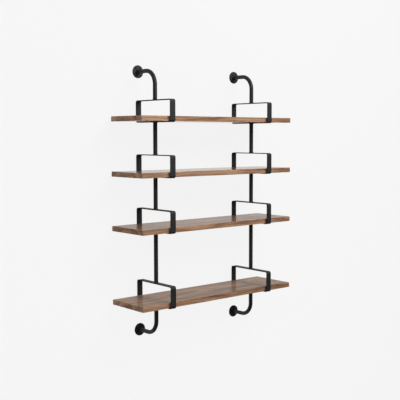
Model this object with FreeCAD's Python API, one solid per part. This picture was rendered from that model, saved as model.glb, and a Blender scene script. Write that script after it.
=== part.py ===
import FreeCAD, Part
import math
import os

# Wall-hung shelf: four boards in flat-bar loops on two tube uprights.
# Millimetres. X runs along the boards, Y points into the wall and Z points up.
# The origin lies on the wall plane, at the centre of the four wall discs.

# Boards
board_length = 950.0
board_depth = 240.0
board_thickness = 24.0
board_edge_break = 1.0

# Spacing of the boards, from the top of one to the top of the next
upper_spacing = 255.0
middle_spacing = 255.0
lower_spacing = 348.0

# Uprights: their spacing, and the height of the wall discs from the outer boards
upright_spacing = 620.0
upper_disc_rise = 213.0
lower_disc_drop = 171.0

# Round tube
tube_diameter = 20.0
tube_wall = 1.5
tube_to_wall = 135.0
arm_bend_radius = 66.0

# Flat-bar loops
strap_width = 30.0
strap_thickness = 4.0
strap_inner_bend = 3.0
strap_edge_break = 0.5
loop_rise = 77.0
loop_gap = 8.5

# Wall discs and their screw holes
disc_diameter = 61.0
disc_thickness = 4.0
disc_edge_break = 0.8
wall_hole_circle = 42.0
wall_hole_diameter = 5.5
wall_hole_count = 4
wall_hole_turn = 45.0

# Board screws, driven up through the loops with their heads flush
screw_shank_diameter = 4.0
screw_length = 20.0
screw_tip_length = 3.0
screw_head_diameter = 8.0
screw_socket_width = 2.5
screw_socket_sides = 6
screw_socket_depth = 1.2
screw_spacing = 150.0
strap_hole_clearance = 0.3
pilot_clearance = 0.3
pilot_end_clearance = 1.0

# Places worked out from the sizes above
disc_span = upper_disc_rise + upper_spacing + middle_spacing + lower_spacing + lower_disc_drop
upper_disc_z = disc_span / 2
lower_disc_z = -disc_span / 2
top_board_z = upper_disc_z - upper_disc_rise
second_board_z = top_board_z - upper_spacing
third_board_z = second_board_z - middle_spacing
bottom_board_z = third_board_z - lower_spacing
board_tops = {
    "top": top_board_z,
    "second": second_board_z,
    "third": third_board_z,
    "bottom": bottom_board_z,
}
tube_y = -tube_to_wall
tube_radius = tube_diameter / 2
bore_radius = tube_radius - tube_wall
upright_sides = {"left": -upright_spacing / 2, "right": upright_spacing / 2}
board_under = -board_thickness
loop_under = board_under - strap_thickness
screw_offsets = (-screw_spacing / 2, screw_spacing / 2)
screw_radius = screw_shank_diameter / 2
screw_head_radius = screw_head_diameter / 2
screw_head_depth = screw_head_radius - screw_radius

along_x = FreeCAD.Vector(1, 0, 0)
into_wall = FreeCAD.Vector(0, 1, 0)
upward = FreeCAD.Vector(0, 0, 1)


# A closed outline in the YZ plane with rounded corners
def rounded_outline(x, y_low, z_low, y_high, z_high, radius):
    corners = [
        (y_low + radius, z_low + radius, 180),
        (y_high - radius, z_low + radius, 270),
        (y_high - radius, z_high - radius, 0),
        (y_low + radius, z_high - radius, 90),
    ]

    def on_corner(corner, degrees):
        y, z, _ = corner
        turn = math.radians(degrees)
        return FreeCAD.Vector(x, y + radius * math.cos(turn), z + radius * math.sin(turn))

    edges = []
    for number, corner in enumerate(corners):
        start = corner[2]
        arc = Part.Arc(on_corner(corner, start), on_corner(corner, start + 45), on_corner(corner, start + 90))
        following = corners[(number + 1) % len(corners)]
        run = Part.LineSegment(on_corner(corner, start + 90), on_corner(following, following[2]))
        edges.append(arc.toShape())
        edges.append(run.toShape())
    return Part.Wire(edges)


# The ring section of the tube, square to an axis
def tube_section(centre, axis):
    outer = Part.Wire(Part.Circle(centre, axis, tube_radius).toShape())
    inner = Part.Wire(Part.Circle(centre, axis, bore_radius).toShape())
    return Part.Face(outer).cut(Part.Face(inner)).Faces[0]


def straight_tube(x, z_low, z_high):
    section = tube_section(FreeCAD.Vector(x, tube_y, z_low), upward)
    return section.extrude(upward * (z_high - z_low))


# A tube that leaves a loop at loop_z, bends through a quarter turn and runs back to its wall disc
def bent_arm(x, loop_z, disc_z):
    rise = 1 if disc_z > loop_z else -1
    bend_z = disc_z - rise * arm_bend_radius
    bend_start = FreeCAD.Vector(x, tube_y, bend_z)
    bend_centre = FreeCAD.Vector(x, tube_y + arm_bend_radius, bend_z)
    bend_end = FreeCAD.Vector(x, tube_y + arm_bend_radius, disc_z)
    upright_run = tube_section(FreeCAD.Vector(x, tube_y, loop_z), upward).extrude(upward * (bend_z - loop_z))
    bend = tube_section(bend_start, upward).revolve(bend_centre, along_x * -rise, 90)
    wall_run_length = -disc_thickness - bend_end.y
    wall_run = tube_section(bend_end, into_wall).extrude(into_wall * wall_run_length)
    return upright_run.fuse([bend, wall_run]).removeSplitter().Solids[0]


# A turned disc with its back on the wall, a broken front edge and a ring of screw holes
def wall_disc(x, z):
    radius = disc_diameter / 2
    disc = Part.makeCylinder(radius, disc_thickness, FreeCAD.Vector(x, -disc_thickness, z), into_wall)
    front_edges = [edge for edge in disc.Edges if edge.BoundBox.YMax < -disc_thickness / 2]
    disc = disc.makeChamfer(disc_edge_break, front_edges)
    for number in range(wall_hole_count):
        turn = math.radians(wall_hole_turn + number * 360 / wall_hole_count)
        hole_x = x + wall_hole_circle / 2 * math.cos(turn)
        hole_z = z + wall_hole_circle / 2 * math.sin(turn)
        start = FreeCAD.Vector(hole_x, -disc_thickness, hole_z)
        disc = disc.cut(Part.makeCylinder(wall_hole_diameter / 2, disc_thickness, start, into_wall))
    return disc


# The cone of a countersunk head, and of the seat that it lies in
def screw_head_cone(centre):
    return Part.makeCone(screw_head_radius, screw_radius, screw_head_depth, centre, upward)


# A flat bar bent into a closed loop: the board lies on its bottom bar and the tubes meet it above and below
def strap_loop(x, board_top):
    half_inside = board_depth / 2 + loop_gap
    half_outside = half_inside + strap_thickness
    side = x - strap_width / 2
    low = board_top + loop_under
    high = board_top + loop_rise
    outer = rounded_outline(
        side, tube_y - half_outside, low, tube_y + half_outside, high, strap_inner_bend + strap_thickness
    )
    inner = rounded_outline(
        side,
        tube_y - half_inside,
        low + strap_thickness,
        tube_y + half_inside,
        high - strap_thickness,
        strap_inner_bend,
    )
    loop = Part.Face(outer).cut(Part.Face(inner)).Faces[0].extrude(along_x * strap_width)
    side_edges = [edge for edge in loop.Edges if edge.BoundBox.XLength < strap_width / 2]
    loop = loop.makeChamfer(strap_edge_break, side_edges)
    hole_radius = screw_radius + strap_hole_clearance
    for offset in screw_offsets:
        start = FreeCAD.Vector(x, tube_y + offset, low)
        hole = Part.makeCylinder(hole_radius, strap_thickness, start, upward)
        loop = loop.cut(hole.fuse(screw_head_cone(start)))
    return loop


# A square-cut board with softened edges and blind pilot holes for its screws
def board(board_top):
    corner = FreeCAD.Vector(-board_length / 2, tube_y - board_depth / 2, board_top + board_under)
    plank = Part.makeBox(board_length, board_depth, board_thickness, corner)
    plank = plank.makeChamfer(board_edge_break, plank.Edges)
    pilot_radius = screw_radius + pilot_clearance
    pilot_depth = screw_length - strap_thickness + pilot_end_clearance
    for x in upright_sides.values():
        for offset in screw_offsets:
            start = FreeCAD.Vector(x, tube_y + offset, board_top + board_under)
            plank = plank.cut(Part.makeCylinder(pilot_radius, pilot_depth, start, upward))
    return plank


# A countersunk screw with a six-sided socket, its flat head flush with the underside of a loop
def board_screw(x, y, head_z):
    head_centre = FreeCAD.Vector(x, y, head_z)
    straight_length = screw_length - screw_tip_length
    shank = Part.makeCylinder(screw_radius, straight_length, head_centre, upward)
    tip_start = FreeCAD.Vector(x, y, head_z + straight_length)
    tip = Part.makeCone(screw_radius, 0, screw_tip_length, tip_start, upward)
    socket_turn = 2 * math.pi / screw_socket_sides
    socket_radius = screw_socket_width / 2 / math.cos(socket_turn / 2)
    corners = []
    for number in range(screw_socket_sides + 1):
        turn = number * socket_turn
        corners.append(FreeCAD.Vector(x + socket_radius * math.cos(turn), y + socket_radius * math.sin(turn), head_z))
    socket = Part.Face(Part.makePolygon(corners)).extrude(upward * screw_socket_depth)
    return screw_head_cone(head_centre).fuse([shank, tip]).cut(socket).removeSplitter().Solids[0]


pieces = {}
for level, top in board_tops.items():
    pieces["board_" + level] = board(top)
for side, x in upright_sides.items():
    for level, top in board_tops.items():
        pieces[side + "_strap_" + level] = strap_loop(x, top)
    tubes = {
        "upper": (top_board_z, second_board_z),
        "middle": (second_board_z, third_board_z),
        "lower": (third_board_z, bottom_board_z),
    }
    for place, (above, below) in tubes.items():
        pieces[side + "_" + place + "_tube"] = straight_tube(x, below + loop_rise, above + loop_under)
    pieces[side + "_upper_arm"] = bent_arm(x, top_board_z + loop_rise, upper_disc_z)
    pieces[side + "_lower_arm"] = bent_arm(x, bottom_board_z + loop_under, lower_disc_z)
    pieces[side + "_upper_wall_disc"] = wall_disc(x, upper_disc_z)
    pieces[side + "_lower_wall_disc"] = wall_disc(x, lower_disc_z)
screws = []
for top in board_tops.values():
    for x in upright_sides.values():
        for offset in screw_offsets:
            screws.append(board_screw(x, tube_y + offset, top + loop_under))
pieces["board_screws"] = Part.makeCompound(screws)

os.makedirs("parts", exist_ok=True)
for node, shape in pieces.items():
    shape.exportStep("parts/" + node + ".step")
    print(node, "solids", len(shape.Solids), "valid", shape.isValid(), "volume", round(shape.Volume))
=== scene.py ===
import math

import bpy
from mathutils import Matrix, Vector


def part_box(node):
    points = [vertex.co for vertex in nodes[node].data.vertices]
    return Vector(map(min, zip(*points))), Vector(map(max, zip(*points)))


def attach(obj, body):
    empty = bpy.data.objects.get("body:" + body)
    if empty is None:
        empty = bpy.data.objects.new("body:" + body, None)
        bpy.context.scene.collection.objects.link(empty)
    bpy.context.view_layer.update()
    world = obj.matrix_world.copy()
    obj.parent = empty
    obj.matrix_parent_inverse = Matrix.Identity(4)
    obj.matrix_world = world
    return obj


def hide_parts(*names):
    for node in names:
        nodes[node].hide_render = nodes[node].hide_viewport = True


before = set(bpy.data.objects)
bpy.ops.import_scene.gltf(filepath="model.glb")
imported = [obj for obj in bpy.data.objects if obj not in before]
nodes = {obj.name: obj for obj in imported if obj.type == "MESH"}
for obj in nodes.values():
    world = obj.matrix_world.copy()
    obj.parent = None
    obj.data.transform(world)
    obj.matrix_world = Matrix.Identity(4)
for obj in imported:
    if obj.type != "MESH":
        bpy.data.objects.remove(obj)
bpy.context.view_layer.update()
levels = ("top", "second", "third", "bottom")
sides = ("left", "right")
discPlaces = ("upper", "lower")
quarterTurn = math.pi / 2
print("frame loaded,", len(nodes), "nodes")


# One shader socket. Sums written with it add Math nodes to its finish.
class Wire:
    def __init__(self, finish, socket):
        self.finish = finish
        self.socket = socket

    def out(self, name):  # another output of the same node
        return Wire(self.finish, self.socket.node.outputs[name])

    def maths(self, operation, first, second=0.0):
        return self.finish.add("Math", {"operation": operation}, {0: first, 1: second})

    def __add__(self, other):
        return self.maths("ADD", self, other)

    def __radd__(self, other):
        return self.maths("ADD", other, self)

    def __sub__(self, other):
        return self.maths("SUBTRACT", self, other)

    def __rsub__(self, other):
        return self.maths("SUBTRACT", other, self)

    def __mul__(self, other):
        return self.maths("MULTIPLY", self, other)

    def __rmul__(self, other):
        return self.maths("MULTIPLY", other, self)

    def __truediv__(self, other):
        return self.maths("DIVIDE", self, other)

    def __rtruediv__(self, other):
        return self.maths("DIVIDE", other, self)

    def __pow__(self, other):
        return self.maths("POWER", self, other)

    def __rpow__(self, other):
        return self.maths("POWER", other, self)

    def __abs__(self):
        return self.maths("ABSOLUTE", self)

    def part(self):  # what is left after the whole number
        return self.maths("FRACT", self)

    def swing(self):  # a noise about its middle
        return self - 0.5

    def ramp(self, low, high):  # 0 at low, 1 at high, eased between them
        inputs = {"Value": self, "From Min": low, "From Max": high}
        return self.finish.add("MapRange", {"interpolation_type": "SMOOTHSTEP"}, inputs)


# Colour sockets of a Mix node, by number because their names repeat
mixSocket = {"factor": 0, "first": 6, "second": 7, "result": 2}


# A node tree that is filled by name: node type, settings, then what goes into its sockets
class Finish:
    def __init__(self, name=None, tree=None):
        self.material = None
        if tree is None:
            self.material = bpy.data.materials.new(name)
            self.material.use_nodes = True
            tree = self.material.node_tree
        self.tree = tree
        tree.nodes.clear()

    def add(self, kind, settings=None, inputs=None, output=0):
        node = self.tree.nodes.new("ShaderNode" + kind)
        for key, value in (settings or {}).items():
            if key == "stops":
                self.setStops(node.color_ramp.elements, value)
            else:
                setattr(node, key, value)
        for key, value in (inputs or {}).items():
            if isinstance(value, Wire):
                self.tree.links.new(value.socket, node.inputs[key])
            else:
                node.inputs[key].default_value = value
        return Wire(self, node.outputs[output]) if node.outputs else None

    def setStops(self, elements, stops):
        while len(elements) < len(stops):
            elements.new(0.5)
        for element, (place, colour) in zip(elements, stops):
            element.position = place
            element.color = (*colour, 1)

    def blend(self, factor, first, second, mode="MIX"):  # two colours
        first, second = [c if isinstance(c, Wire) else (*c, 1) for c in (first, second)]
        settings = {"data_type": "RGBA", "blend_type": mode}
        values = {"factor": factor, "first": first, "second": second}
        inputs = {mixSocket[key]: value for key, value in values.items()}
        return self.add("Mix", settings, inputs, mixSocket["result"])

    def scaled(self, spot, scale):
        return self.add("VectorMath", {"operation": "MULTIPLY"}, {0: spot, 1: scale})

    def moved(self, spot, step):
        return self.add("VectorMath", {"operation": "ADD"}, {0: spot, 1: step})

    def noise(self, spot, scale, detail=2.0, roughness=0.5):
        inputs = {"Vector": spot, "Scale": scale, "Detail": detail, "Roughness": roughness}
        return self.add("TexNoise", None, inputs)

    def here(self):  # where a spot is on the part, in metres
        return self.add("TexCoord", output="Object")

    def worn(self):  # how rubbed the mesh is there
        return self.add("Attribute", {"attribute_name": "edgeWear"}, None, "Fac")

    def closed(self, shader):
        self.add("OutputMaterial", None, {"Surface": shader})
        return self.material

    def painted(self, inputs):
        return self.closed(self.add("BsdfPrincipled", None, inputs))


# Walnut: grown rings of a leaning trunk cut by the board, with colour bands along them, fibres and pores
walnutLook = {
    "darkest": (0.105, 0.053, 0.031),
    "dark": (0.202, 0.106, 0.061),
    "body": (0.335, 0.191, 0.115),
    "pale": (0.487, 0.306, 0.197),
    "tones": {"darkest": 0.10, "dark": 0.34, "body": 0.58, "pale": 0.88},  # where each colour is pure
    "middleTone": 0.60,
    "toneShare": {"band": 0.45, "streak": 1.00, "line": 0.75, "fibre": 0.30, "late": 0.16, "vein": 0.16},
    "pith": (0.020, -0.075),  # heart of the tree, across and below the middle of the board
    "lean": (0.075, 0.050),  # how far the heart wanders along the board, across and in depth
    "leanScale": 1.7,
    "leanStep": (3.1, 5.7, 1.3),  # keeps the two ways of wandering apart
    "wobble": 0.0035,
    "wobbleScale": 24,
    "wobbleDrawn": (0.25, 1, 1),
    "ringWidth": 0.0058,
    "lateWood": (0.25, 0.93),  # shares of a ring between which it darkens
    "ringEnd": (0.95, 1.0),  # and between which it ends
    "drawn": (0.035, 0.2),  # the smaller, the longer the figure is along and across the board
    "band": {"step": (0, 0, 0), "scale": 13, "detail": 1, "roughness": 0.5},
    "streak": {"step": (7.7, 2.2, 4.4), "scale": 52, "detail": 3, "roughness": 0.55},
    "line": {"step": (1.9, 8.3, 6.1), "scale": 170, "detail": 2, "roughness": 0.6},
    "vein": {"step": (5.2, 3.6, 9.4), "scale": 40, "detail": 2, "roughness": 0.5},
    "veinWidth": 0.045,
    "fibreScale": (28, 900, 900),
    "poreScale": (105, 1500, 1500),
    "poreEdge": (0.60, 0.72),
    "poreShare": 0.55,
    "endEdge": (0.55, 0.9),
    "endGrainAndSheen": (0.91, 0.97, 1.06),  # sawn ends are darker, and greyed by a painted reflection
    # grey dust and a painted sheen on faces that look up
    "dustAndSheen": (0.16, 0.21, 0.25),
    "dustAndSheenShare": 0.14,
    "dustAndSheenLevel": (0.6, 0.95),  # how level a face is that takes the dust and painted sheen
    "dustAndSheenLeast": 0.6,
    "dustAndSheenPatches": 0.8,
    "dustAndSheenScale": 9,
    "rubScale": 60,
    "rubEdge": (0.35, 0.7),
    "rubShare": 0.30,
    "roughness": 0.30,
    "roughShare": {"pore": 0.12, "streak": 0.06, "ends": 0.20, "rubbed": 0.05},
    "heightShare": {"fibre": 0.30, "pore": 0.60, "late": 0.12},
    "bump": {"Strength": 0.12, "Distance": 0.0003},
    "gloss": 0.014,
    "lacquer": {"Coat Weight": 1.0, "Coat Roughness": 0.06, "Coat IOR": 1.03},  # shines at a low angle
}


# Where a spot lies in the grain, and the dark late wood of each ring
def walnutRings(wood, spot, shift):
    look = walnutLook
    place = wood.add("SeparateXYZ", None, {0: spot})
    trunk = wood.moved(wood.scaled(spot, (1, 0, 0)), shift)
    wander = wood.noise(trunk, look["leanScale"], 1)
    sink = wood.noise(wood.moved(trunk, look["leanStep"]), look["leanScale"], 1)
    wobble = wood.noise(wood.moved(wood.scaled(spot, look["wobbleDrawn"]), shift), look["wobbleScale"])
    across = place.out("Y") - look["pith"][0] + wander.swing() * look["lean"][0]
    depth = place.out("Z") - look["pith"][1] + sink.swing() * look["lean"][1]
    radius = (across * across + depth * depth) ** 0.5 + wobble.swing() * look["wobble"]
    ring = (radius / look["ringWidth"]).part()
    late = ring.ramp(*look["lateWood"]) * (1 - ring.ramp(*look["ringEnd"]))
    grain = {0: place.out("X") * look["drawn"][0], 1: radius, 2: place.out("Y") * look["drawn"][1]}
    return wood.moved(wood.add("CombineXYZ", None, grain), shift), late


def grainNoise(wood, grain, layer):
    spot = wood.moved(grain, layer["step"])
    return wood.noise(spot, layer["scale"], layer["detail"], layer["roughness"])


def walnut(name, centre, shift, lift):
    look = walnutLook
    wood = Finish(name)
    spot = wood.moved(wood.here(), tuple(-c for c in centre))
    grain, late = walnutRings(wood, spot, shift)
    band, streak, line = (grainNoise(wood, grain, look[key]) for key in ("band", "streak", "line"))
    vein = 1 - abs(grainNoise(wood, grain, look["vein"]).swing()).ramp(0, look["veinWidth"])
    fibre = wood.noise(wood.scaled(spot, look["fibreScale"]), 1)
    pore = wood.noise(wood.scaled(wood.moved(spot, shift), look["poreScale"]), 1, 1)
    pore = pore.ramp(*look["poreEdge"])

    share = look["toneShare"]
    tone = look["middleTone"] + band.swing() * share["band"] + streak.swing() * share["streak"]
    tone = tone + line.swing() * share["line"] + fibre.swing() * share["fibre"]
    tone = tone - late * share["late"] - vein * share["vein"] + lift
    stops = [(level, look[key]) for key, level in look["tones"].items()]
    colour = wood.add("ValToRGB", {"stops": stops}, {0: tone})
    colour = wood.blend(pore * look["poreShare"], colour, look["darkest"])

    facing = wood.add("SeparateXYZ", None, {0: wood.add("NewGeometry", output="Normal")})
    ends = abs(facing.out("X")).ramp(*look["endEdge"])  # sawn across the fibres
    # end grain is darker; its grey tint is a painted reflection
    colour = wood.blend(ends, colour, wood.blend(1.0, colour, look["endGrainAndSheen"], "MULTIPLY"))
    patches = look["dustAndSheenLeast"] + wood.noise(spot, look["dustAndSheenScale"], 3) * look["dustAndSheenPatches"]
    dustAndSheen = facing.out("Z").ramp(*look["dustAndSheenLevel"]) * patches  # grey dust with a painted sheen, on faces that look up
    colour = wood.blend(dustAndSheen * look["dustAndSheenShare"], colour, look["dustAndSheen"])
    rubbed = wood.worn() * wood.noise(spot, look["rubScale"]).ramp(*look["rubEdge"])
    colour = wood.blend(rubbed * look["rubShare"], colour, look["pale"])

    share = look["roughShare"]
    rough = look["roughness"] + pore * share["pore"] + streak.swing() * share["streak"]
    rough = rough + ends * share["ends"] - rubbed * share["rubbed"]
    share = look["heightShare"]
    height = fibre * share["fibre"] - pore * share["pore"] - late * share["late"]
    normal = wood.add("Bump", None, {**look["bump"], "Height": height})
    return wood.painted({
        "Base Color": colour, "Roughness": rough, "Normal": normal, "Specular IOR Level": look["gloss"],
        **look["lacquer"]})


# Satin black powder coat: fine orange peel, faint cloudiness, rubbed edges
coatLook = {
    "black": (0.0036, 0.0036, 0.0038),
    "cloud": (0.0050, 0.0049, 0.0048),
    "rubbed": (0.034, 0.033, 0.032),
    "peelScale": 650,
    "peelRoughness": 0.6,
    "cloudScale": 38,
    "cloudEdge": (0.3, 0.7),
    "speckScale": 1900,
    "speckEdge": (0.66, 0.74),
    "speckShare": 0.25,
    "rubScale": 90,
    "rubEdge": (0.45, 0.72),
    "rubShare": 0.7,
    "rimBand": (0.0012, 0.0003),  # how far inside the rim of a disc the rubbing starts and is full
    "roughness": 0.6,
    "roughShare": {"cloud": 0.06, "peel": 0.06, "rubbed": 0.08},
    "bump": {"Strength": 0.15, "Distance": 0.0004},
    "gloss": 0.45,
}


# How near a spot is to the rim of one of the four wall discs
def discRim(coat, spot, discs):
    place = coat.add("SeparateXYZ", None, {0: spot})
    across = abs(place.out("X")) - discs["x"]
    rise = abs(place.out("Z")) - discs["z"]
    fromCentre = (across * across + rise * rise) ** 0.5
    start, full = coatLook["rimBand"]
    return fromCentre.ramp(discs["radius"] - start, discs["radius"] - full)


def powderCoat(name, discs=None):
    look = coatLook
    coat = Finish(name)
    spot = coat.here()
    peel = coat.noise(spot, look["peelScale"], 2, look["peelRoughness"])
    cloud = coat.noise(spot, look["cloudScale"], 3)
    speck = coat.noise(spot, look["speckScale"], 1).ramp(*look["speckEdge"])
    rubbed = discRim(coat, spot, discs) if discs else coat.worn()
    rubbed = rubbed * coat.noise(spot, look["rubScale"], 3).ramp(*look["rubEdge"])
    colour = coat.blend(cloud.ramp(*look["cloudEdge"]), look["black"], look["cloud"])
    bare = rubbed * look["rubShare"] + speck * look["speckShare"]
    colour = coat.blend(bare, colour, look["rubbed"])
    share = look["roughShare"]
    rough = look["roughness"] + cloud.swing() * share["cloud"] + peel.swing() * share["peel"]
    rough = rough - rubbed * share["rubbed"]
    normal = coat.add("Bump", None, {**look["bump"], "Height": peel})
    return coat.painted({
        "Base Color": colour, "Roughness": rough, "Normal": normal, "Specular IOR Level": look["gloss"]})


# Black zinc on the screws: thin, so the steel shows at the rims
zincLook = {
    "black": (0.026, 0.026, 0.028),
    "bright": (0.14, 0.14, 0.145),
    "cloudScale": 420,
    "rubScale": 700,
    "rubEdge": (0.35, 0.65),
    "rubShare": 0.6,
    "roughness": 0.34,
    "cloudRoughness": 0.20,
    "metallic": 0.75,
    "bump": {"Strength": 0.12, "Distance": 0.0002},
}


def blackZinc(name):
    look = zincLook
    zinc = Finish(name)
    spot = zinc.here()
    cloud = zinc.noise(spot, look["cloudScale"], 3)
    rubbed = zinc.worn() * zinc.noise(spot, look["rubScale"]).ramp(*look["rubEdge"])
    colour = zinc.blend(rubbed * look["rubShare"], look["black"], look["bright"])
    rough = look["roughness"] + cloud.swing() * look["cloudRoughness"]
    normal = zinc.add("Bump", None, {**look["bump"], "Height": cloud})
    return zinc.painted({
        "Base Color": colour, "Roughness": rough, "Metallic": look["metallic"], "Normal": normal})


discLow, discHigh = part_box("right_upper_wall_disc")
discPlace = {
    "x": (discLow.x + discHigh.x) / 2,
    "z": (discLow.z + discHigh.z) / 2,
    "radius": (discHigh.x - discLow.x) / 2,
}
steelCoat = powderCoat("blackPowderCoat")
discCoat = powderCoat("blackPowderCoatDiscs", discPlace)
screwZinc = blackZinc("blackZinc")
print("finishes made")


# Edges that turn more than this stay crisp
sharpAngle = math.radians(40)


# A mesh that rides on the part, with how rubbed each corner is
def addPiece(name, points, faces, wear, material):
    mesh = bpy.data.meshes.new(name)
    mesh.from_pydata(points, [], faces)
    mesh.validate()
    mesh.update()
    mesh.attributes.new("edgeWear", "FLOAT", "POINT").data.foreach_set("value", wear)
    mesh.polygons.foreach_set("use_smooth", [True] * len(mesh.polygons))
    mesh.set_sharp_from_angle(angle=sharpAngle)
    mesh.materials.append(material)
    piece = bpy.data.objects.new(name, mesh)
    bpy.context.scene.collection.objects.link(piece)
    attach(piece, "root")
    return piece


# Faces between rows of points that close on themselves
def ringFaces(rows, count, closed=False):
    faces = []
    for row in range(rows if closed else rows - 1):
        here, there = row * count, (row + 1) % rows * count
        for k in range(count):
            after = (k + 1) % count
            faces.append((here + k, here + after, there + after, there + k))
    return faces


# The same with a face over each end
def cappedFaces(rows, count):
    faces = ringFaces(rows, count)
    faces.append(tuple(reversed(range(count))))
    faces.append(tuple(range((rows - 1) * count, rows * count)))
    return faces


def direction(turn):
    return Vector((math.cos(turn), math.sin(turn)))


# Corners of a rectangle in turning order, with the turn at which a round in each would start
def rectangleCorners(halfWidth, halfHeight):
    signs = ((1, 1), (-1, 1), (-1, -1), (1, -1))
    return [(u * halfWidth, v * halfHeight, k * quarterTurn) for k, (u, v) in enumerate(signs)]


# How much less the ends of a round are worn than its middle
wearFade = 0.7


# A rectangle with rounded corners as (u, v, wear). Points beside each round keep the flats flat.
def softRectangle(width, height, radius, steps, margin):
    outline = []
    for u, v, start in rectangleCorners(width / 2 - radius, height / 2 - radius):
        first, last = direction(start), direction(start + quarterTurn)
        before = Vector((u, v)) + first * radius - last * margin
        outline.append((before.x, before.y, 0.0))
        for step in range(steps + 1):
            turn = start + step / steps * quarterTurn
            worn = 1 - abs(2 * step / steps - 1) ** 2 * wearFade
            outline.append((u + radius * math.cos(turn), v + radius * math.sin(turn), worn))
        beyond = Vector((u, v)) + last * radius - first * margin
        outline.append((beyond.x, beyond.y, 0.0))
    return outline


# Boards: square-cut planks with every edge eased by hand
boardPiece = {
    "edgeRound": 0.0016,
    "leastRound": 1e-5,
    "roundSteps": 4,
    "margin": 0.004,
    "shifts": {  # where in the trunk each plank was cut
        "top": (0.78, 2.99, 8.68),
        "second": (1.89, 8.19, 4.23),
        "third": (1.77, 8.55, 7.94),
        "bottom": (0.32, 0.16, 8.19),
    },
    "lifts": {"top": 0.07, "second": -0.01, "third": -0.015, "bottom": 0.03},  # paler or darker planks
}


# Along a board: place, how far the outline is drawn in, wear
def boardStations(half):
    radius, steps, margin = (boardPiece[key] for key in ("edgeRound", "roundSteps", "margin"))
    end = []
    for step in range(steps + 1):
        turn = step / steps * quarterTurn
        place = half - radius + radius * math.sin(turn)
        end.append((place, radius * (1 - math.cos(turn)), math.sin(turn * 2)))
    start = [(-place, inset, worn) for place, inset, worn in reversed(end)]
    return start + [(-half + radius + margin, 0, 0), (half - radius - margin, 0, 0)] + end


def makeBoard(level):
    low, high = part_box("board_" + level)
    centre, size = (low + high) / 2, high - low
    steps, margin = boardPiece["roundSteps"], boardPiece["margin"]
    stations = boardStations(size.x / 2)
    points, wear = [], []
    for x, inset, worn in stations:
        radius = max(boardPiece["edgeRound"] - inset, boardPiece["leastRound"])
        for y, z, edge in softRectangle(size.y - 2 * inset, size.z - 2 * inset, radius, steps, margin):
            points.append(centre + Vector((x, y, z)))
            wear.append(max(edge, worn))
    faces = cappedFaces(len(stations), len(points) // len(stations))
    wood = walnut("walnut_" + level, centre, boardPiece["shifts"][level], boardPiece["lifts"][level])
    board = addPiece("walnut_board_" + level, points, faces, wear, wood)
    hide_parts("board_" + level)


for level in levels:
    makeBoard(level)
print("boards made")


# Loops: flat bar with rolled edges, bent at four corners and countersunk for the screws
loopPiece = {
    "thickness": 0.004,
    "innerBend": 0.0065,
    "bendSteps": 10,
    "edgeRound": 0.0010,
    "roundSteps": 3,
    "margin": 0.0025,
    "flare": 0.010,  # the bar spreads a little on the inside of a bend
    "screwOffsets": (-0.075, 0.075),  # along the bottom bar, from its middle
    "holePatch": 0.009,  # half the length of bar that is cut up round a hole
    "holeSides": 32,
    "holeStart": -math.pi / 4,
    "holeRings": [  # radius, depth from the underside, wear
        (0.00470, 0.0, 0.0),
        (0.00425, 0.0, 0.6),
        (0.00412, 0.00012, 0.9),
        (0.00230, 0.00195, 0.0),
        (0.00230, 0.0040, 0.0),
    ],
}


# Round a loop: place on the inner face, outward direction, how far into a bend.
# With them goes the number of the station just before each hole.
def loopStations(size):
    thick, bend, margin = (loopPiece[key] for key in ("thickness", "innerBend", "margin"))
    stations, holeStarts = [], []
    for u, v, start in rectangleCorners(size.y / 2 - thick - bend, size.z / 2 - thick - bend):
        corner = Vector((u, v))
        first, last = direction(start), direction(start + quarterTurn)
        if u > 0 > v:  # the bottom bar runs up to this corner
            for offset in loopPiece["screwOffsets"]:
                holeStarts.append(len(stations))
                for end in (-1, 1):
                    place = Vector((offset + end * loopPiece["holePatch"], thick - size.z / 2))
                    stations.append((place, first, 0))
        stations.append((corner + first * bend - last * margin, first, 0))
        for step in range(loopPiece["bendSteps"] + 1):
            share = step / loopPiece["bendSteps"]
            out = direction(start + share * quarterTurn)
            stations.append((corner + out * bend, out, math.sin(share * math.pi)))
        stations.append((corner + last * bend - first * margin, last, 0))
    return stations, holeStarts


# Faces of a flat patch between its four corners and a ring of points, both in the same turning direction
def patchFaces(corners, ring):
    count = len(ring)
    quarter = count // 4
    faces = []
    for q, corner in enumerate(corners):
        for j in range(q * quarter - quarter // 2, q * quarter + quarter // 2):
            faces.append((corner, ring[(j + 1) % count], ring[j % count]))
        faces.append((corner, corners[(q + 1) % 4], ring[q * quarter + quarter // 2]))
    return faces


# A countersunk hole between an outer and an inner patch, as its points, wear and faces
def loopHole(x, y, z, begin, outer, inner):
    rings, count = loopPiece["holeRings"], loopPiece["holeSides"]
    points, wear = [], []
    for radius, depth, worn in rings:
        for j in range(count):
            turn = loopPiece["holeStart"] - j / count * math.tau
            points.append(Vector((x + radius * math.cos(turn), y + radius * math.sin(turn), z + depth)))
            wear.append(worn)
    faces = [tuple(begin + k for k in face) for face in ringFaces(len(rings), count)]
    inside = begin + (len(rings) - 1) * count
    faces += patchFaces(outer, [begin + j for j in range(count)])
    faces += patchFaces(inner, [inside + (count // 4 - j) % count for j in range(count)])
    return points, wear, faces


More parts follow.
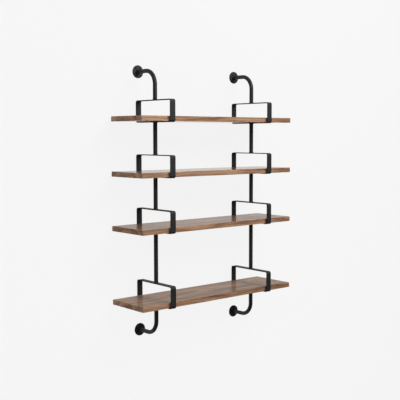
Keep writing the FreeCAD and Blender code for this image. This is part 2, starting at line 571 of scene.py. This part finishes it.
def makeLoop(side, level):
    node = side + "_strap_" + level
    low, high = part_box(node)
    centre, size = (low + high) / 2, high - low
    thick, steps = loopPiece["thickness"], loopPiece["roundSteps"]
    section = softRectangle(size.x, thick, loopPiece["edgeRound"], steps, loopPiece["margin"])
    stations, holeStarts = loopStations(size)
    points, wear = [], []
    for place, out, bent in stations:
        for u, v, edge in section:
            inner = 0.5 - v / thick
            wide = 1 + loopPiece["flare"] * bent * inner
            spot = place + out * (v + thick / 2)
            points.append(centre + Vector((u * wide, spot.x, spot.y)))
            wear.append(edge)
    count = len(section)
    outerFlat = steps + 2  # numbers of the two broad faces in the section
    innerFlat = outerFlat + count // 2
    faces = ringFaces(len(stations), count, closed=True)
    for number, offset in zip(holeStarts, loopPiece["screwOffsets"]):
        patches = []
        for flat in (outerFlat, innerFlat):
            here, there = number * count + flat, (number + 1) * count + flat
            patches.append((here, here + 1, there + 1, there))
            faces.remove(patches[-1])
        hole = loopHole(centre.x, centre.y + offset, low.z, len(points), *patches)
        points += hole[0]
        wear += hole[1]
        faces += hole[2]
    loop = addPiece("loop_" + side + "_" + level, points, faces, wear, steelCoat)
    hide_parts(node)


for side in sides:
    for level in levels:
        makeLoop(side, level)
print("loops made")


# Tubes, arms and wall discs keep their CAD shape and take the coat
for name, node in nodes.items():
    if name.endswith(("_tube", "_arm", "_wall_disc")):
        node.data.materials.clear()
        node.data.materials.append(discCoat if name.endswith("_wall_disc") else steelCoat)
print("steel coated")


# Outward direction at a turn round an axis that is upright or faces the wall
def outward(axis, turn):
    across = Vector((1, 0, 0))
    return across * math.cos(turn) + axis.cross(across) * math.sin(turn)


# Rings of points round an axis, closed at both ends: radius, height and wear of each.
# A radius may depend on the turn, and a height on the radius.
def turned(rings, count, base, axis, spin):
    points, wear = [], []
    for radius, height, worn in rings:
        for k in range(count):
            turn = k / count * math.tau
            reach = radius(turn) if callable(radius) else radius
            rise = height(reach) if callable(height) else height
            points.append(base + outward(axis, turn + spin) * reach + axis * rise)
            wear.append(worn)
    return points, cappedFaces(len(rings), count), wear


# Several closed shapes gathered into one mesh
class Gather:
    def __init__(self):
        self.points, self.faces, self.wear = [], [], []

    def take(self, points, faces, wear):
        begin = len(self.points)
        self.points += points
        self.faces += [tuple(begin + k for k in face) for face in faces]
        self.wear += wear

    def piece(self, name, material, slotName):
        return addPiece(name, self.points, self.faces, self.wear, material)


# Board screws: countersunk, six-sided sockets, flush with the underside of the loops
boardScrew = {
    "sides": 36,
    "socket": 0.00125,  # half across the flats
    "socketDepth": 0.0012,
    "socketTaper": 0.97,
    "socketEdge": 0.00015,
    "pitRadius": 0.00015,  # mark of the drill in the floor of the socket
    "pitDepth": 0.0002,
    "headRadius": 0.0040,
    "headRim": [  # in from the edge of the head, depth, wear
        (0.00035, 0.0, 0.3),
        (0.00008, 0.00006, 1.0),
        (0.00006, 0.00020, 0.5),
    ],
    "shankRadius": 0.0020,
    "length": 0.020,
    "tip": 0.003,
    "tipRadius": 0.00010,
    "sunk": 0.00010,
    "spinStep": 0.7,  # the screws are tightened to different turns
}


def hexRadius(turn):
    side = math.pi / 3
    return boardScrew["socket"] / math.cos((turn % side) - side / 2)


def boardScrewRings():
    head, shank, sunk = (boardScrew[key] for key in ("headRadius", "shankRadius", "sunk"))
    floor, edge, length = (boardScrew[key] for key in ("socketDepth", "socketEdge", "length"))
    socket = [
        (boardScrew["pitRadius"], floor + boardScrew["pitDepth"], 0.0),
        (lambda turn: hexRadius(turn) * boardScrew["socketTaper"], floor, 0.0),
        (hexRadius, sunk + edge, 0.4),
        (lambda turn: hexRadius(turn) + edge, sunk, 0.9),
    ]
    rim = [(head - inset, sunk + depth, worn) for inset, depth, worn in boardScrew["headRim"]]
    shaft = [
        (shank, sunk + head - shank, 0.0),
        (shank, length - boardScrew["tip"], 0.0),
        (boardScrew["tipRadius"], length, 0.0),
    ]
    return socket + rim + shaft


def makeBoardScrews():
    rings = boardScrewRings()
    screws = Gather()
    for level in levels:
        for side in sides:
            low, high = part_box(side + "_strap_" + level)
            middle = (low + high) / 2
            for number, offset in enumerate(loopPiece["screwOffsets"]):
                seat = Vector((middle.x, middle.y + offset, low.z))
                spin = boardScrew["spinStep"] * len(screws.points) + number
                screws.take(*turned(rings, boardScrew["sides"], seat, Vector((0, 0, 1)), spin))
    piece = screws.piece("countersunk_screws", screwZinc, "black_screws")
    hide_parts("board_screws")


makeBoardScrews()
print("board screws made")


# Wall screws: domed heads with a cross recess, four in each wall disc
wallScrew = {
    "sides": 48,
    "circle": 0.042,
    "count": 4,
    "firstTurn": 45,
    "headRadius": 0.0047,
    "headRise": 0.0026,
    "headEdge": 0.0002,
    "headGap": 0.00002,
    "rim": 0.0007,
    "domePower": 2.4,
    "domeShares": (0.96, 0.88, 0.76, 0.62),  # rings on the dome, as shares of its radius
    "crossReach": 0.0024,
    "crossHalf": 0.0006,
    "crossDepth": 0.0016,
    "crossEdge": 0.00015,
    "crossDrop": 0.00018,
    "crossTaper": 0.62,
    "crossFoot": 0.0004,
    "crossTip": 0.0003,
    "shankRadius": 0.0023,
    "backGap": 0.0003,
    "spins": (1.3, 2.1, 0.9),  # turn by the number of the screw and by the place of the disc
}


def crossRadius(turn):
    tiny = 1e-9  # keeps the divisions safe
    near, far = sorted((abs(math.cos(turn)) + tiny, abs(math.sin(turn)) + tiny))
    reach, half = wallScrew["crossReach"], wallScrew["crossHalf"]
    return max(min(reach / far, half / near), half / far)


def domeHeight(radius):
    flat = wallScrew["rim"]
    fall = (radius / wallScrew["headRadius"]) ** wallScrew["domePower"]
    return flat + (wallScrew["headRise"] - flat) * max(0.0, 1 - fall)


def wallScrewRings(discThickness):
    head, shank = wallScrew["headRadius"], wallScrew["shankRadius"]
    gap, edge = wallScrew["headGap"], wallScrew["headEdge"]
    floor = wallScrew["headRise"] - wallScrew["crossDepth"]
    side = [
        (shank, wallScrew["backGap"] - discThickness, 0.0),
        (shank, gap, 0.0),
        (head - edge, gap, 0.2),
        (head, edge, 0.4),
        (head, wallScrew["rim"], 0.8),
    ]
    dome = [(head * share, domeHeight, 0.3) for share in wallScrew["domeShares"]]
    cross = [
        (lambda turn: crossRadius(turn) + wallScrew["crossEdge"], domeHeight, 0.9),
        (crossRadius, lambda radius: domeHeight(radius) - wallScrew["crossDrop"], 0.6),
        (lambda turn: crossRadius(turn) * wallScrew["crossTaper"], floor + wallScrew["crossFoot"], 0.0),
        (wallScrew["crossTip"], floor, 0.0),
    ]
    return side + dome + cross


def makeWallScrews(side, place):
    low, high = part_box(side + "_" + place + "_wall_disc")
    middle = (low + high) / 2
    rings = wallScrewRings(high.y - low.y)
    byNumber, byX, byZ = wallScrew["spins"]
    reach = wallScrew["circle"] / 2
    screws = Gather()
    for number in range(wallScrew["count"]):
        turn = math.radians(wallScrew["firstTurn"]) + number / wallScrew["count"] * math.tau
        seat = Vector((middle.x + reach * math.cos(turn), low.y, middle.z + reach * math.sin(turn)))
        spin = byNumber * number + byX * middle.x + byZ * middle.z
        screws.take(*turned(rings, wallScrew["sides"], seat, Vector((0, -1, 0)), spin))
    screws.piece("wall_screws_" + side + "_" + place, screwZinc, "black_screws")


for side in sides:
    for place in discPlaces:
        makeWallScrews(side, place)
print("wall screws made")


# Welds: a small rippled fillet round the tube at every joint, under the coat
weldBead = {
    "leg": 0.0026,
    "sunk": 0.0004,
    "steps": 132,
    "faceSteps": 6,
    "hollow": 1.25,  # 1 would be a full round
    "ripples": 33,
    "rippleRise": 0.10,
    "ripplePower": 1.5,
    "rippleMiddle": 0.4,
    "rippleLag": 0.9,  # makes each ripple a crescent
    "wander": 0.07,
    "waves": ((0.6, 2, 1.0), (0.4, 5, 2.3)),  # share, waves in a turn, share of the seed
    "seedStep": 0.01,
}


# One slice across a bead: reach from the tube and rise along it
def weldSection(around, seed):
    leg, sunk, hollow, steps = (weldBead[key] for key in ("leg", "sunk", "hollow", "faceSteps"))
    turn = around * math.tau
    waves = sum(share * math.sin(count * turn + part * seed) for share, count, part in weldBead["waves"])
    swell = 1 + weldBead["wander"] * waves
    section = [(-sunk, -sunk), (leg * swell, -sunk)]
    for step in range(steps + 1):
        share = step / steps
        lag = weldBead["rippleLag"] * (2 * share - 1) ** 2
        phase = (around * weldBead["ripples"] - lag) % 1
        ripple = phase ** weldBead["ripplePower"] - weldBead["rippleMiddle"]
        full = 1 + weldBead["rippleRise"] * ripple * math.sin(share * math.pi)
        size = leg * swell * full
        lean = share * quarterTurn
        section.append((size * math.cos(lean) ** hollow, size * math.sin(lean) ** hollow))
    section.append((-sunk, leg * swell))
    return section


def weldRing(base, axis, tubeRadius, seed):
    steps = weldBead["steps"]
    points = []
    for number in range(steps):
        out = outward(axis, number / steps * math.tau)
        section = weldSection(number / steps, seed)
        points += [base + out * (tubeRadius + reach) + axis * rise for reach, rise in section]
    return points, ringFaces(steps, len(points) // steps, closed=True), [0.0] * len(points)


def makeWelds(side):
    low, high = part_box(side + "_upper_tube")
    middle, tubeRadius = (low + high) / 2, (high.x - low.x) / 2
    joints = []  # place and direction
    for level in levels:
        under, over = (corner.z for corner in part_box(side + "_strap_" + level))
        for z, way in ((over, 1), (under, -1)):
            joints.append((Vector((middle.x, middle.y, z)), Vector((0, 0, way))))
    for place in discPlaces:
        front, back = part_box(side + "_" + place + "_wall_disc")
        joints.append((Vector((middle.x, front.y, (front.z + back.z) / 2)), Vector((0, -1, 0))))
    welds = Gather()
    for seat, axis in joints:
        welds.take(*weldRing(seat, axis, tubeRadius, len(welds.points) * weldBead["seedStep"]))
    welds.piece("welds_" + side, steelCoat, "black_steel")


for side in sides:
    makeWelds(side)
print("welds made")


# Camera where the photograph was taken from
cameraPlace = {
    "place": (-2.547945, -3.083445, 0.316687),
    "heading": -40.414,
    "pitch": -4.619,
    "roll": -0.095,
    "turns": (("heading", 0, "Z"), ("pitch", 90, "X"), ("roll", 0, "Z")),  # angle, added degrees, axis
    "focalPixels": 792.385,
    "imagePixels": 400,
    "sensorWidth": 36,
    "farthest": 60,
}


def addCamera():
    lens = bpy.data.cameras.new("camera")
    lens.sensor_width = cameraPlace["sensorWidth"]
    lens.lens = lens.sensor_width * cameraPlace["focalPixels"] / cameraPlace["imagePixels"]
    lens.clip_end = cameraPlace["farthest"]
    camera = bpy.data.objects.new("camera", lens)
    aim = Matrix.Identity(4)
    for key, added, axis in cameraPlace["turns"]:
        aim = aim @ Matrix.Rotation(math.radians(cameraPlace[key] + added), 4, axis)
    camera.matrix_world = Matrix.Translation(cameraPlace["place"]) @ aim
    bpy.context.scene.collection.objects.link(camera)
    bpy.context.scene.camera = camera


addCamera()
print("camera set")


# Pale wall and floor: the camera sees mostly a plain tone, with a little real light for soft shadows
stageLook = {
    "tone": 0.936,
    "wallSheen": (0.94, 0.885, 0.83),  # how the wall, the floor and the room show in reflections
    "floorSheen": (0.06, 0.06, 0.06),
    "roomSheen": (0.0, 0.0, 0.0),
    "sheenFade": (0.9, 2.6),  # distance over which the first two fall to the third
    "glow": (1.5, 1.5, 1.5),  # soft patch of the room that gives the steel its shine
    "glowWay": (0.09, -0.87, 0.485),
    "glowSpread": (0.66, 0.97),
    "albedo": 0.80,
    "shadowShare": 0.07,
    "floorHeight": -1.5,
    "wallBehind": 0.0006,
    "reach": 9.0,
}


def grey(value):
    return (value, value, value, 1)


# 1 for what is seen straight or through something clear
def seenRays(path):
    return (path.out("Is Camera Ray") + path.out("Is Transmission Ray")).ramp(0, 1)


# Nothing of it shows from behind
def paleFinish(name, sheenColour):
    pale = Finish(name)
    path = pale.add("LightPath")
    lit = pale.add("BsdfDiffuse", None, {"Color": grey(stageLook["albedo"])})
    plain = pale.add("Emission", None, {"Color": grey(stageLook["tone"]), "Strength": 1.0})
    far = pale.add("VectorMath", {"operation": "LENGTH"}, {0: pale.here()}, "Value")
    faded = pale.blend(far.ramp(*stageLook["sheenFade"]), sheenColour, stageLook["roomSheen"])
    sheen = pale.add("Emission", None, {"Color": faded, "Strength": 1.0})
    share = seenRays(path) * (1 - stageLook["shadowShare"])
    surface = pale.add("MixShader", None, {0: share, 1: lit, 2: plain})
    surface = pale.add("MixShader", None, {0: path.out("Is Glossy Ray"), 1: surface, 2: sheen})
    behind = pale.add("NewGeometry", output="Backfacing")
    surface = pale.add("MixShader", None, {0: behind, 1: surface, 2: pale.add("BsdfTransparent")})
    return pale.closed(surface)


def addStage(name, corners, material):
    mesh = bpy.data.meshes.new(name)
    mesh.from_pydata(corners, [], [(0, 1, 2, 3)])
    mesh.materials.append(material)
    thing = bpy.data.objects.new(name, mesh)
    bpy.context.scene.collection.objects.link(thing)


reach, floorZ, wallY = (stageLook[key] for key in ("reach", "floorHeight", "wallBehind"))
wallCorners = [
    (-reach, wallY, floorZ),
    (reach, wallY, floorZ),
    (reach, wallY, reach),
    (-reach, wallY, reach),
]
floorCorners = [
    (-reach, -reach, floorZ),
    (reach, -reach, floorZ),
    (reach, reach, floorZ),
    (-reach, reach, floorZ),
]
addStage("wall", wallCorners, paleFinish("paleWall", stageLook["wallSheen"]))
addStage("floor", floorCorners, paleFinish("paleFloor", stageLook["floorSheen"]))
print("wall and floor set")


# Studio light: a soft box high in front, weak ones on the left and low in front that don't mirror
lightPlan = {
    "key": {"place": (0.9, -2.9, 2.4), "size": (2.6, 2.0), "watts": 124, "mirrored": True},
    "left": {"place": (-3.2, -2.2, 0.8), "size": (2.0, 2.0), "watts": 24, "mirrored": False},
    "low": {"place": (0.3, -2.4, -0.9), "size": (1.6, 0.8), "watts": 5, "mirrored": False},
}
lightTarget = Vector((0.0, -0.1, 0.0))
roomLight = 0.12  # even light from all round


def addLamp(name, plan):
    data = bpy.data.lights.new(name, "AREA")
    data.shape = "RECTANGLE"
    data.size, data.size_y = plan["size"]
    data.energy = plan["watts"]
    lamp = bpy.data.objects.new(name, data)
    lamp.location = plan["place"]
    lamp.rotation_euler = (lightTarget - Vector(plan["place"])).to_track_quat("-Z", "Y").to_euler()
    lamp.visible_glossy = plan["mirrored"]
    bpy.context.scene.collection.objects.link(lamp)


def addRoom():
    world = bpy.data.worlds.new("room")
    world.use_nodes = True
    bpy.context.scene.world = world
    room = Finish(tree=world.node_tree)
    path = room.add("LightPath")
    tone = room.add("Background", None, {"Color": grey(stageLook["tone"]), "Strength": 1.0})
    way = room.add("TexCoord", output="Generated")
    glow = room.add("VectorMath", {"operation": "DOT_PRODUCT"}, {0: way, 1: stageLook["glowWay"]}, "Value")
    sheen = room.blend(glow.ramp(*stageLook["glowSpread"]), stageLook["roomSheen"], stageLook["glow"])
    sheen = room.add("Background", None, {"Color": sheen, "Strength": 1.0})
    air = room.add("Background", None, {"Color": grey(1), "Strength": roomLight})
    light = room.add("MixShader", None, {0: path.out("Is Glossy Ray"), 1: air, 2: sheen})
    light = room.add("MixShader", None, {0: seenRays(path), 1: light, 2: tone})
    room.add("OutputWorld", None, {"Surface": light})


for name, plan in lightPlan.items():
    addLamp(name, plan)
addRoom()
bpy.context.scene.view_settings.view_transform = "Standard"
print("light set")
